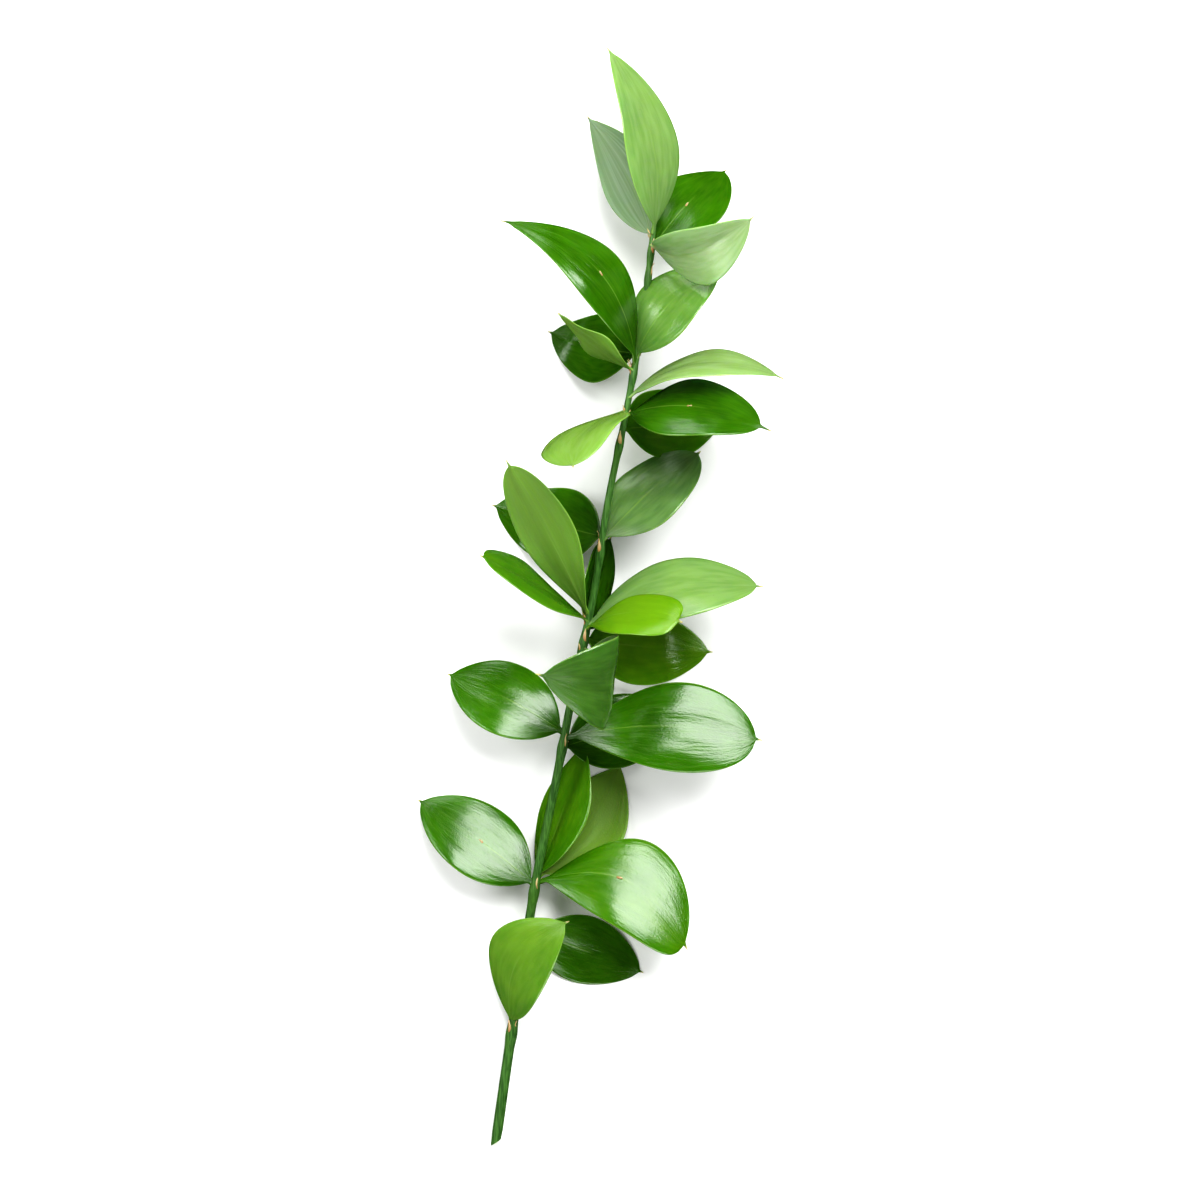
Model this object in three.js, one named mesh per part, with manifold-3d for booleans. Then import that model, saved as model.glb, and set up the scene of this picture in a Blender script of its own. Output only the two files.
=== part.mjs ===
// A cut stem of broad-leaved ruscus, lying on a table with its tip towards +Y.
//
// The round green axis bears flat, leathery blades in loose whorls, each on a narrow twisted root,
// and a small papery bract under each whorl. It all grew as one piece, so it is one solid.
// Millimetres and degrees, +Z up, the table at z = 0, the origin on the table under the middle.

import * as THREE from 'three';
import { mergeVertices } from 'three/addons/utils/BufferGeometryUtils.js';
import Module from 'manifold-3d';

// The axis: its centre line as [x, z] at even stations along Y, from the cut end to the last bud.
const cutEndY = -250;
const stationStep = 42;
const axisStations = [
  [-48, 2.3], [-42, 4], [-35.5, 9], [-28.5, 15.5], [-20, 22], [-12, 27.5],
  [-3, 32], [3.5, 35.5], [12, 38.5], [19.5, 40.5], [24.5, 42],
];
const axisRadiusAtCut = 2.3;
const axisRadiusAtBud = 1.2;
const axisSides = 10;
const axisRings = 46;
const knotSwelling = 0.45;
const knotLength = 4;
const cutSlant = 0.8;

// The blade: half-widths of its narrow root and of its thorn tip, and its thickness.
const rootHalfWidth = 1.3;
const thornHalfWidth = 0.36;
const bladeStart = 0.05;
const cuspFlare = 0.033;
const bladeFullness = 1.7;
const marginThickness = 0.7;
const ribThickness = 0.3;
const rootThickness = 1.0;
const rootTaper = 0.06;
const bladeRows = 10;
const bladeColumns = 4;
const endCrowding = 0.45;
const waveCount = 1.5;
const phaseStep = 0.382;

// A blade that reaches the table is pressed flat on it, and bends into that over this height.
const pressBend = 3;

// What a blade has unless its own entry says otherwise.
const usualBlade = {
  roll: 0, twist: 0, arch: 8, sweep: 0, fold: 12, curl: 24, wave: 0.8, widest: 0.46, taper: 0.8, cusp: 0.035,
};

// Each blade grows from the axis at height `at` along Y and ends at `tip`. `roll` turns it about
// that line: 0 shows its upper face to +Z, 180 its underside. `arch` bows the midrib towards the
// upper face, `sweep` towards the left edge, `fold` lifts both halves, and `curl` turns them down.
// `widest` is where along it a blade is widest, `taper` below 1 makes its end blunt, and `cusp` is
// the share of its length that runs out into the thorn.
const blades = [
  // The terminal whorl.
  { at: 166, tip: [3, 250, 50], width: 38, roll: 50, arch: 11, sweep: -1, taper: 1.05 },
  { at: 164, tip: [-6, 222, 16], width: 30, roll: 145, arch: 4, sweep: 1, taper: 1.1 },
  { at: 161, tip: [69, 172, 72], width: 34, roll: 40, arch: 13, fold: 22, curl: 10 },
  { at: 159, tip: [58, 198, 4], width: 34, roll: -25, arch: 4 },
  // The second whorl.
  { at: 110, tip: [55, 150, 44], width: 34, roll: -36, arch: 9, fold: 18 },
  { at: 107, tip: [-45, 172, 44], width: 30, roll: 38, arch: 22, sweep: -3, fold: 8, taper: 1.1 },
  { at: 104, tip: [-19, 130, 46], width: 24, roll: -72, arch: 2, sweep: -3, wave: 1.6 },
  { at: 112, tip: [-24, 124, -8], width: 34, roll: 10, arch: -6 },
  // The third whorl.
  { at: 92, tip: [83, 100, 50], width: 36, roll: -70, arch: 12 },
  { at: 84, tip: [77, 76, 62], width: 38, roll: -45, arch: 9, taper: 0.7, cusp: 0.07 },
  { at: 78, tip: [60, 88, -8], width: 34, roll: -10, arch: -7 },
  { at: 86, tip: [-12, 59, 84], width: 42, roll: 62, arch: 4, sweep: -8, taper: 0.6 },
  // The fourth whorl.
  { at: 27, tip: [46, 68, 20], width: 36, roll: -36, arch: 5, sweep: -2, taper: 0.7 },
  { at: 29, tip: [-50, 44, -9], width: 36, roll: 5, arch: -8 },
  // The fifth whorl.
  { at: -8, tip: [-43, 64, 42], width: 32, roll: 140, arch: -3, sweep: 4, widest: 0.6, taper: 0.95, cusp: 0.045 },
  { at: -10, tip: [-54, 20, 66], width: 38, roll: 74, arch: 2, twist: -20, taper: 0.6 },
  { at: -11, tip: [74, 6, 42], width: 40, roll: -48, arch: 10, taper: 0.65 },
  { at: -13, tip: [37, -10, 70], width: 28, roll: -50, arch: 7, widest: 0.64, taper: 0.5 },
  { at: -22, tip: [-29, -33, 74], width: 44, roll: -37, arch: 26, sweep: 5 },
  { at: -15, tip: [5, 29, 4], width: 30, roll: 60, arch: 0 },
  { at: -18, tip: [52, -24, -7], width: 36, roll: -8, arch: -6 },
  // The sixth whorl.
  { at: -63, tip: [74, -64, 34], width: 42, roll: -15, arch: 8, sweep: 4, widest: 0.6, taper: 0.7 },
  { at: -61, tip: [-70, -34, 10], width: 36, roll: 20, arch: 6 },
  { at: -67, tip: [40, -52, -5], width: 34, roll: 0, arch: -6 },
  // The seventh whorl.
  { at: -128, tip: [-7, -66, 12], width: 34, roll: -52, arch: -2 },
  { at: -130, tip: [40, -160, 26], width: 44, roll: -20, arch: 8, sweep: 16, widest: 0.56, taper: 0.65 },
  { at: -127, tip: [10, -75, -3], width: 38, roll: 160, arch: 5, sweep: 3, taper: 1 },
  { at: -131, tip: [-84, -92, 4], width: 36, roll: 20, arch: 5 },
  // The lowest blades.
  { at: -152, tip: [20, -172, -2], width: 32, roll: 10, arch: -3 },
  { at: -196, tip: [-14, -146, 38], width: 36, roll: -30, arch: 6, sweep: 10 },
];

// The bracts: one under each whorl, `turn` degrees round the axis from +X. A bract's foot is sunk in
// the axis, at this share of its radius, and its tip leans out by this share of its own length.
const bractLength = 6.5;
const bractWidth = 2.6;
const bractFoot = 0.6;
const bractLean = 0.35;
const bractRows = 3;
const bractColumns = 2;
const bracts = [
  { at: 157, turn: 60 }, { at: 146, turn: 20 }, { at: 102, turn: 150 }, { at: 70, turn: 80 },
  { at: 21, turn: 100 }, { at: -20, turn: 70 }, { at: -68, turn: 50 }, { at: -134, turn: 60 },
  { at: -200, turn: 110 },
];
const usualBract = { ...usualBlade, width: bractWidth, arch: 0.6, fold: 0, curl: 0, wave: 0 };

const green = new THREE.MeshStandardMaterial({ color: 0x3f8a24, roughness: 0.42, metalness: 0 });

const radians = THREE.MathUtils.degToRad;
const axisCurve = new THREE.CatmullRomCurve3(
  axisStations.map(([x, z], i) => new THREE.Vector3(x, cutEndY + i * stationStep, z)),
  false,
  'catmullrom',
  0.5,
);
const axisSpan = stationStep * (axisStations.length - 1);

const axisAt = (y) => axisCurve.getPoint(THREE.MathUtils.clamp((y - cutEndY) / axisSpan, 0, 1));

// The radius of the axis, a little swollen at each whorl.
function axisRadius(y) {
  const along = (y - cutEndY) / axisSpan;
  const knots = bracts.map(({ at }) => Math.exp(-(((y - at) / knotLength) ** 2)));
  return THREE.MathUtils.lerp(axisRadiusAtCut, axisRadiusAtBud, along) + knotSwelling * Math.max(...knots);
}

// A closed skin over rings of points that all have the same number of points.
function skinOverRings(rings) {
  const count = rings[0].length;
  const index = [];
  for (let r = 0; r < rings.length - 1; r += 1) {
    for (let i = 0; i < count; i += 1) {
      const a = r * count + i;
      const b = r * count + ((i + 1) % count);
      index.push(a, b + count, b, a, a + count, b + count);
    }
  }
  const last = (rings.length - 1) * count;
  for (let i = 1; i < count - 1; i += 1) {
    index.push(0, i, i + 1, last, last + i + 1, last + i);
  }
  return closedGeometry(rings.flat(), index);
}

function closedGeometry(points, index) {
  const geometry = new THREE.BufferGeometry().setFromPoints(points);
  geometry.setIndex(index);
  return geometry;
}

function axisGeometry() {
  const rings = [];
  for (let r = 0; r <= axisRings; r += 1) {
    const y = cutEndY + (axisSpan * r) / axisRings;
    const centre = axisAt(y);
    const ahead = axisAt(y + 1).sub(axisAt(y - 1)).normalize();
    const across = new THREE.Vector3(ahead.y, -ahead.x, 0).normalize();
    const up = new THREE.Vector3().crossVectors(across, ahead);
    const ring = [];
    for (let i = 0; i < axisSides; i += 1) {
      const turn = (2 * Math.PI * (i + 0.5)) / axisSides;
      const out = across.clone().multiplyScalar(Math.cos(turn)).addScaledVector(up, Math.sin(turn));
      const point = centre.clone().addScaledVector(out, axisRadius(y));
      if (r === 0) point.addScaledVector(ahead, cutSlant * axisRadiusAtCut * Math.cos(turn));
      ring.push(point);
    }
    rings.push(ring);
  }
  return skinOverRings(rings);
}

// Half the width of a blade at t, from 0 at its root to 1 at its thorn tip.
function halfWidth({ width, widest, taper, cusp }, t) {
  const s = THREE.MathUtils.clamp((t - bladeStart) / (1 - cusp - bladeStart), 0, 1);
  const rise = (s / widest) ** (bladeFullness * widest);
  const fall = ((1 - s) / (1 - widest)) ** (bladeFullness * (1 - widest));
  const outline = (rise * fall) ** (s > widest ? taper : 1);
  const narrow = THREE.MathUtils.lerp(Math.min(rootHalfWidth, width / 3), thornHalfWidth, t);
  const flare = cuspFlare * width * t * Math.min(1, (1 - t) / (2 * cusp)) ** 2;
  return Math.hypot((width / 2) * outline, narrow + flare);
}

// The place of a blade's mid-surface at t along it and u across it, from -1 at its right edge to 1.
function bladePoint(blade, t, u) {
  const { root, tip, roll, twist, arch, sweep, fold, curl, wave, phase } = blade;
  const chord = tip.clone().sub(root);
  const flatSide = new THREE.Vector3(-chord.y, chord.x, 0).normalize();
  const turned = (vector, angle) => vector.clone().applyAxisAngle(chord.clone().normalize(), angle);
  const flatUp = new THREE.Vector3().crossVectors(chord, flatSide).normalize();
  const bow = 4 * t * (1 - t);
  const rib = root.clone().addScaledVector(chord, t);
  rib.addScaledVector(turned(flatUp, radians(roll)), arch * bow);
  rib.addScaledVector(turned(flatSide, radians(roll)), sweep * bow);

  const turn = radians(roll + twist * (t - 0.5));
  const side = turned(flatSide, turn);
  const up = turned(flatUp, turn);
  const half = halfWidth(blade, t);
  const lift = radians(fold);
  const bend = Math.max(radians(curl), 1e-4);
  const out = (half * (Math.sin(lift) - Math.sin(lift - bend * Math.abs(u)))) / bend;
  const rise = (half * (Math.cos(lift - bend * Math.abs(u)) - Math.cos(lift))) / bend;
  const ripple = wave * u * u * Math.sin(2 * Math.PI * (waveCount * t + phase + 0.25 * Math.sign(u)));
  return rib.addScaledVector(side, Math.sign(u) * out).addScaledVector(up, rise + ripple * Math.sqrt(bow));
}

// Half the thickness of a blade: thin at the margin, thicker on the midrib, stout at the root.
function halfThickness(t, u) {
  return (marginThickness + ribThickness * (1 - Math.abs(u)) + rootThickness * Math.exp(-t / rootTaper)) / 2;
}

// The point and the direction up from a blade there, pressed flat where it meets the table.
function pressedPoint(blade, t, u) {
  const step = 0.01;
  const point = bladePoint(blade, t, u);
  const behind = bladePoint(blade, Math.max(t - step, 0), u);
  const right = bladePoint(blade, t, Math.max(u - step, -1));
  const along = bladePoint(blade, Math.min(t + step, 1), u).sub(behind);
  const across = bladePoint(blade, t, Math.min(u + step, 1)).sub(right);
  const up = along.cross(across).normalize();
  const depth = halfThickness(t, u) - point.z;
  if (depth > -pressBend) {
    const pressed = Math.min(1, (depth + pressBend) / (2 * pressBend));
    const bent = depth > pressBend ? 0 : pressBend * (1 - pressed) ** 2;
    point.z = halfThickness(t, u) + bent;
    up.lerp(new THREE.Vector3(0, 0, Math.sign(up.z)), pressed).normalize();
  }
  return { point, up };
}

// One closed blade: an upper and a lower sheet split into triangles alike, joined at the margin.
function bladeGeometry(blade, rows, columns) {
  const upper = [];
  const lower = [];
  for (let r = 0; r <= rows; r += 1) {
    const even = r / rows;
    const t = THREE.MathUtils.lerp(even, 0.5 - 0.5 * Math.cos(Math.PI * even), endCrowding);
    for (let c = 0; c <= columns; c += 1) {
      const u = (2 * c) / columns - 1;
      const { point, up } = pressedPoint(blade, t, u);
      const half = halfThickness(t, u);
      upper.push(point.clone().addScaledVector(up, half));
      lower.push(point.clone().addScaledVector(up, -half));
    }
  }
  const wide = columns + 1;
  const under = upper.length;
  const index = [];
  for (let r = 0; r < rows; r += 1) {
    for (let c = 0; c < columns; c += 1) {
      const a = r * wide + c;
      const b = a + 1;
      index.push(a, b + wide, b, a, a + wide, b + wide);
      index.push(under + a, under + b, under + b + wide, under + a, under + b + wide, under + a + wide);
    }
    const right = r * wide;
    const left = right + columns;
    index.push(right, under + right + wide, right + wide, right, under + right, under + right + wide);
    index.push(left, left + wide, under + left + wide, left, under + left + wide, under + left);
  }
  const end = rows * wide;
  for (let c = 0; c < columns; c += 1) {
    const a = end + c;
    index.push(c, c + 1, under + c + 1, c, under + c + 1, under + c);
    index.push(a, under + a + 1, a + 1, a, under + a, under + a + 1);
  }
  return closedGeometry(upper.concat(lower), index);
}

function grownBlade(blade, place) {
  return {
    ...usualBlade,
    ...blade,
    root: axisAt(blade.at),
    tip: new THREE.Vector3(...blade.tip),
    phase: (place * phaseStep) % 1,
  };
}

// A bract stands up from the axis, its back against the whorl above.
function grownBract({ at, turn }) {
  const root = axisAt(at);
  const out = new THREE.Vector3(Math.cos(radians(turn)), 0, Math.sin(radians(turn)));
  const foot = root.clone().addScaledVector(out, bractFoot * axisRadius(at));
  const tip = foot.clone().addScaledVector(out, bractLean * bractLength);
  tip.y += bractLength;
  return { ...usualBract, root: foot, tip, roll: turn - 90, phase: 0 };
}

const wasm = await Module();
wasm.setup();

function solidOf(geometry) {
  const bare = geometry.clone();
  bare.deleteAttribute('normal');
  bare.deleteAttribute('uv');
  const merged = mergeVertices(bare, 1e-4);
  const vertProperties = new Float32Array(merged.attributes.position.array);
  const triVerts = new Uint32Array(merged.index.array);
  return new wasm.Manifold(new wasm.Mesh({ numProp: 3, vertProperties, triVerts }));
}

function geometryOf(solid) {
  const { vertProperties, triVerts } = solid.getMesh();
  const geometry = new THREE.BufferGeometry();
  geometry.setAttribute('position', new THREE.BufferAttribute(new Float32Array(vertProperties), 3));
  geometry.setIndex(new THREE.BufferAttribute(new Uint32Array(triVerts), 1));
  geometry.computeVertexNormals();
  return geometry;
}

function leafyStem() {
  let solid = solidOf(axisGeometry());
  blades.forEach((blade, place) => {
    solid = solid.add(solidOf(bladeGeometry(grownBlade(blade, place), bladeRows, bladeColumns)));
  });
  bracts.forEach((bract) => {
    solid = solid.add(solidOf(bladeGeometry(grownBract(bract), bractRows, bractColumns)));
  });
  const mesh = new THREE.Mesh(geometryOf(solid), green);
  mesh.name = 'leafy_stem';
  return mesh;
}

const stem = new THREE.Group();
stem.add(leafyStem());

export default stem;
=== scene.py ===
import math

import bpy
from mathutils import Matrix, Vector


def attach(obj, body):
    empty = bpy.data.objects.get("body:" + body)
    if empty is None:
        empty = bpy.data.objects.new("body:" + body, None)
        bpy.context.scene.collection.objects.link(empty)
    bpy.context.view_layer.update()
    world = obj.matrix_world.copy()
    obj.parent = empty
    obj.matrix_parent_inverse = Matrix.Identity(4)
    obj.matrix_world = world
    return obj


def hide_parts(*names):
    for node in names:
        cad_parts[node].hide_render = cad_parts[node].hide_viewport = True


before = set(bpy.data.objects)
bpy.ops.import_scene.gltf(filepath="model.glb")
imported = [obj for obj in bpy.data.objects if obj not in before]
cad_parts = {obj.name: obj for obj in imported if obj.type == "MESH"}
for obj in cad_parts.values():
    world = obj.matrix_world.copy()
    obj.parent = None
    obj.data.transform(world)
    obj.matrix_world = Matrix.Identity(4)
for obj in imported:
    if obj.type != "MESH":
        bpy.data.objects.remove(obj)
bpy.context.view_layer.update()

# ---- The axis ----
# The round green shoot that bears everything else, about 5 mm thick. It grew finely ribbed along
# its length and a little swollen at each whorl, and shears cut it off at a slant at its lower end.
# Its centre line goes through even stations along Y, each given as (x, z) in millimetres.

MM = 0.001
CUT_END_Y = -250 * MM
STATION_STEP = 42 * MM
AXIS_STATIONS = [
    (-48, 2.3), (-42, 4), (-35.5, 9), (-28.5, 15.5), (-20, 22), (-12, 27.5),
    (-3, 32), (3.5, 35.5), (12, 38.5), (19.5, 40.5), (24.5, 42),
]
AXIS_RADIUS_AT_CUT = 2.3 * MM
AXIS_RADIUS_AT_BUD = 1.2 * MM
KNOT_SWELLING = 0.45 * MM
KNOT_LENGTH = 4 * MM
WHORL_HEIGHTS = [y * MM for y in (157, 146, 102, 70, 21, -20, -68, -134, -200)]
BUD_LENGTH = 3 * MM
BUD_BLUNTNESS = 0.02
RING_STEP = 1.4 * MM
AXIS_SIDES = 72
RIB_COUNT = 14
RIB_DEPTH = 0.035
CUT_SLANT = 0.8
CUT_LENGTH = 6 * MM

AXIS_LENGTH = STATION_STEP * (len(AXIS_STATIONS) - 1)
axis_points = [
    Vector((x * MM, CUT_END_Y + i * STATION_STEP, z * MM)) for i, (x, z) in enumerate(AXIS_STATIONS)
]


def axis_at(y):
    """The point of the axis' centre line at a height along Y."""
    points = [2 * axis_points[0] - axis_points[1], *axis_points, 2 * axis_points[-1] - axis_points[-2]]
    place = min(max((y - CUT_END_Y) / STATION_STEP, 0), len(axis_points) - 1)
    first = min(int(place), len(axis_points) - 2)
    s = place - first
    before, start, end, after = points[first : first + 4]
    bend = 2 * before - 5 * start + 4 * end - after
    turn = 3 * start - before - 3 * end + after
    return start + ((end - before) * s + bend * s**2 + turn * s**3) / 2


def axis_radius(y):
    """The radius of the axis at a height along Y, swollen at each whorl and rounded off at the bud."""
    share = (y - CUT_END_Y) / AXIS_LENGTH
    knot = max(math.exp(-(((y - height) / KNOT_LENGTH) ** 2)) for height in WHORL_HEIGHTS)
    radius = AXIS_RADIUS_AT_CUT + (AXIS_RADIUS_AT_BUD - AXIS_RADIUS_AT_CUT) * share
    past = max(0, (y - CUT_END_Y - AXIS_LENGTH + BUD_LENGTH) / BUD_LENGTH)
    return (radius + KNOT_SWELLING * knot) * math.sqrt(max(BUD_BLUNTNESS, 1 - past**2))


class Field:
    """A value in a node tree, so that a rule can be written with the usual signs."""

    def __init__(self, tree, socket):
        self.tree = tree
        self.socket = socket

    def __add__(self, other):
        return combined("ADD", self, other)

    def __radd__(self, other):
        return combined("ADD", other, self)

    def __sub__(self, other):
        return combined("SUBTRACT", self, other)

    def __rsub__(self, other):
        return combined("SUBTRACT", other, self)

    def __mul__(self, other):
        return combined("MULTIPLY", self, other)

    def __rmul__(self, other):
        return combined("MULTIPLY", other, self)

    def __truediv__(self, other):
        return combined("DIVIDE", self, other)

    def __pow__(self, other):
        return combined("POWER", self, other)


def add_node(tree, kind, inputs=None, **settings):
    """A new node with its settings made and its inputs joined or filled in."""
    node = tree.nodes.new(kind)
    for name, value in settings.items():
        setattr(node, name, value)
    for key, value in (inputs or {}).items():
        if isinstance(value, Field):
            tree.links.new(value.socket, node.inputs[key])
        else:
            node.inputs[key].default_value = value
    return node


def is_vector(value):
    if isinstance(value, Field):
        return value.socket.type == "VECTOR"
    return isinstance(value, (tuple, Vector))


def maths(operation, *values):
    """A number worked out by a Math node."""
    tree = next(v.tree for v in values if isinstance(v, Field))
    node = add_node(tree, "ShaderNodeMath", dict(enumerate(values)), operation=operation)
    return Field(tree, node.outputs[0])


def vector_maths(operation, *values):
    """A vector worked out by a Vector Math node."""
    tree = next(v.tree for v in values if isinstance(v, Field))
    node = add_node(tree, "ShaderNodeVectorMath", dict(enumerate(values)), operation=operation)
    return Field(tree, node.outputs["Vector"])


def combined(operation, first, second):
    """Two values combined, as vectors if one of them is a vector."""
    if not (is_vector(first) or is_vector(second)):
        return maths(operation, first, second)
    if is_vector(first) and is_vector(second):
        return vector_maths(operation, first, second)
    vector, scale = (first, second) if is_vector(first) else (second, first)
    tree = (vector if isinstance(vector, Field) else scale).tree
    node = add_node(tree, "ShaderNodeVectorMath", {0: vector, "Scale": scale}, operation="SCALE")
    return Field(tree, node.outputs["Vector"])


def vector_of(tree, x, y, z):
    return Field(tree, add_node(tree, "ShaderNodeCombineXYZ", {0: x, 1: y, 2: z}).outputs[0])


def part_of(vector, letter):
    node = add_node(vector.tree, "ShaderNodeSeparateXYZ", {0: vector})
    return Field(vector.tree, node.outputs[letter])


def smooth_step(value, start, end):
    """0 before start and 1 after end, with a soft bend at both."""
    inputs = {"Value": value, "From Min": start, "From Max": end}
    node = add_node(value.tree, "ShaderNodeMapRange", inputs, interpolation_type="SMOOTHSTEP")
    return Field(value.tree, node.outputs["Result"])


def noise(tree, vector, scale, detail):
    inputs = {"Vector": vector, "Scale": scale, "Detail": detail}
    return Field(tree, add_node(tree, "ShaderNodeTexNoise", inputs).outputs["Fac"])


def new_tree(name, kind, inputs, outputs):
    """A node tree with named sockets: the tree, a field for each input, and its output node."""
    tree = bpy.data.node_groups.new(name, kind)
    for label, socket_kind in inputs.items():
        tree.interface.new_socket(label, in_out="INPUT", socket_type="NodeSocket" + socket_kind)
    for label, socket_kind in outputs.items():
        tree.interface.new_socket(label, in_out="OUTPUT", socket_type="NodeSocket" + socket_kind)
    group_input = tree.nodes.new("NodeGroupInput")
    given = {label: Field(tree, group_input.outputs[label]) for label in inputs}
    return tree, given, tree.nodes.new("NodeGroupOutput")


def named_attribute(tree, name, data_type="FLOAT"):
    node = add_node(tree, "GeometryNodeInputNamedAttribute", {"Name": name}, data_type=data_type)
    return Field(tree, node.outputs["Attribute"])


def changed(tree, kind, geometry, inputs=None):
    """A geometry after one node has changed it."""
    node = add_node(tree, kind, {"Geometry": geometry, **(inputs or {})})
    return Field(tree, node.outputs["Geometry"])


def grow(piece, tree, values, drop=()):
    """Runs a tree on a piece, and leaves the result as the piece's own plain mesh."""
    bpy.context.scene.collection.objects.link(piece)
    modifier = piece.modifiers.new("grown", "NODES")
    modifier.node_group = tree
    for label, value in values.items():
        modifier[tree.interface.items_tree[label].identifier] = value
    evaluated = piece.evaluated_get(bpy.context.evaluated_depsgraph_get())
    grown = bpy.data.meshes.new_from_object(evaluated)
    piece.modifiers.clear()
    piece.data = grown
    grown.name = piece.name
    for name in drop:
        grown.attributes.remove(grown.attributes[name])
    return piece


def sweep_tree():
    """A ribbed rod along a line of points, with its first end cut at a slant."""
    inputs = {
        "Geometry": "Geometry", "Sides": "Int", "Ribs": "Float", "Rib Depth": "Float",
        "Cut Slant": "Float", "Cut Length": "Float", "Cut End": "Vector", "Material": "Material",
    }
    tree, given, out = new_tree("ribbed_rod", "GeometryNodeTree", inputs, {"Geometry": "Geometry"})
    line = add_node(tree, "GeometryNodeMeshToCurve", {"Mesh": given["Geometry"]})
    circle_inputs = {"Resolution": given["Sides"], "Radius": 1.0}
    circle = add_node(tree, "GeometryNodeCurvePrimitiveCircle", circle_inputs)
    turn = Field(tree, tree.nodes.new("GeometryNodeSplineParameter").outputs["Factor"]) * math.tau
    place = Field(tree, tree.nodes.new("GeometryNodeInputPosition").outputs[0])
    ribbed = place * (given["Rib Depth"] * maths("COSINE", turn * given["Ribs"]) + 1.0)
    ring = Field(tree, circle.outputs["Curve"])
    section = changed(tree, "GeometryNodeSetPosition", ring, {"Position": ribbed})
    rod = add_node(tree, "GeometryNodeCurveToMesh", {
        "Curve": Field(tree, line.outputs["Curve"]),
        "Profile Curve": section,
        "Scale": named_attribute(tree, "reach"),
        "Fill Caps": True,
    })
    inward = place - given["Cut End"]
    near = 1.0 - smooth_step(part_of(inward, "Y"), 0.0, given["Cut Length"])
    shift = given["Cut Slant"] * part_of(inward, "X") * near
    offset = {"Offset": vector_of(tree, 0.0, shift, 0.0)}
    slanted = changed(tree, "GeometryNodeSetPosition", Field(tree, rod.outputs["Mesh"]), offset)
    smooth = changed(tree, "GeometryNodeSetShadeSmooth", slanted)
    real = changed(tree, "GeometryNodeRealizeInstances", smooth)
    dressed = changed(tree, "GeometryNodeSetMaterial", real, {"Material": given["Material"]})
    tree.links.new(dressed.socket, out.inputs["Geometry"])
    return tree


def mixed_colour(share, first, second):
    """Two colours mixed: share 0 gives the first and 1 the second."""
    inputs = {0: share, 6: first, 7: second}
    node = add_node(share.tree, "ShaderNodeMix", inputs, data_type="RGBA")
    return Field(share.tree, node.outputs[2])


def rgb(red, green, blue):
    return (red, green, blue, 1.0)


STREAK_DETAIL = 3.0
BLOTCH_DETAIL = 2.0


def streaks_group():
    """Fine streaks and soft blotches along Y, for what grew along the axis or was cut across it."""
    inputs = {"Streak Scale": "Float", "Blotch Scale": "Float", "Stretch": "Float"}
    outputs = {"Streaks": "Float", "Blotches": "Float"}
    tree, given, out = new_tree("grown_streaks", "ShaderNodeTree", inputs, outputs)
    place = Field(tree, tree.nodes.new("ShaderNodeTexCoord").outputs["Object"])
    drawn_out = place * vector_of(tree, 1.0, given["Stretch"], 1.0)
    fine = noise(tree, drawn_out, given["Streak Scale"], STREAK_DETAIL)
    soft = noise(tree, place, given["Blotch Scale"], BLOTCH_DETAIL)
    tree.links.new(fine.socket, out.inputs["Streaks"])
    tree.links.new(soft.socket, out.inputs["Blotches"])
    return tree


grown_streaks = streaks_group()


def new_material(name, **values):
    """A material: its tree and its shader, with the uniform values set on the shader's own sockets."""
    material = bpy.data.materials.new(name)
    material.use_nodes = True
    shader = material.node_tree.nodes["Principled BSDF"]
    for label, value in values.items():
        shader.inputs[label.replace("_", " ")].default_value = value
    return material, material.node_tree, shader


def streaks_of(tree, streak_scale, blotch_scale, stretch):
    inputs = {"Streak Scale": streak_scale, "Blotch Scale": blotch_scale, "Stretch": stretch}
    node = add_node(tree, "ShaderNodeGroup", inputs, node_tree=grown_streaks)
    return Field(tree, node.outputs["Streaks"]), Field(tree, node.outputs["Blotches"])


def put(tree, field, shader, label):
    tree.links.new(field.socket, shader.inputs[label])


def bump(height, strength, distance):
    inputs = {"Height": height, "Strength": strength, "Distance": distance}
    return Field(height.tree, add_node(height.tree, "ShaderNodeBump", inputs).outputs["Normal"])


AXIS_DEEP_GREEN = rgb(0.025, 0.085, 0.010)
AXIS_PALE_GREEN = rgb(0.065, 0.17, 0.03)
AXIS_FRESH_GREEN = rgb(0.08, 0.19, 0.02)
AXIS_STREAK_EDGE = (0.35, 0.65)
AXIS_BLOTCH_EDGE = (0.45, 0.75)
AXIS_FRESH_SHARE = 0.5
AXIS_ROUGHNESS = 0.36
AXIS_BLOTCH_ROUGHNESS = 0.16


def axis_material():
    """Smooth green skin with paler and deeper streaks along it."""
    material, tree, shader = new_material("axis_skin", Specular_IOR_Level=0.5)
    streaks, blotches = streaks_of(tree, streak_scale=1400.0, blotch_scale=40.0, stretch=0.06)
    skin = mixed_colour(smooth_step(streaks, *AXIS_STREAK_EDGE), AXIS_DEEP_GREEN, AXIS_PALE_GREEN)
    fresh = smooth_step(blotches, *AXIS_BLOTCH_EDGE) * AXIS_FRESH_SHARE
    put(tree, mixed_colour(fresh, skin, AXIS_FRESH_GREEN), shader, "Base Color")
    put(tree, AXIS_ROUGHNESS + AXIS_BLOTCH_ROUGHNESS * blotches, shader, "Roughness")
    put(tree, bump(streaks, strength=0.5, distance=0.08 * MM), shader, "Normal")
    return material


def line_piece(name, points, radii):
    """A line of points, each with the radius that a rod has there."""
    mesh = bpy.data.meshes.new(name)
    mesh.from_pydata(points, [(i, i + 1) for i in range(len(points) - 1)], [])
    mesh.attributes.new("reach", "FLOAT", "POINT").data.foreach_set("value", radii)
    return bpy.data.objects.new(name, mesh)


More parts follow.
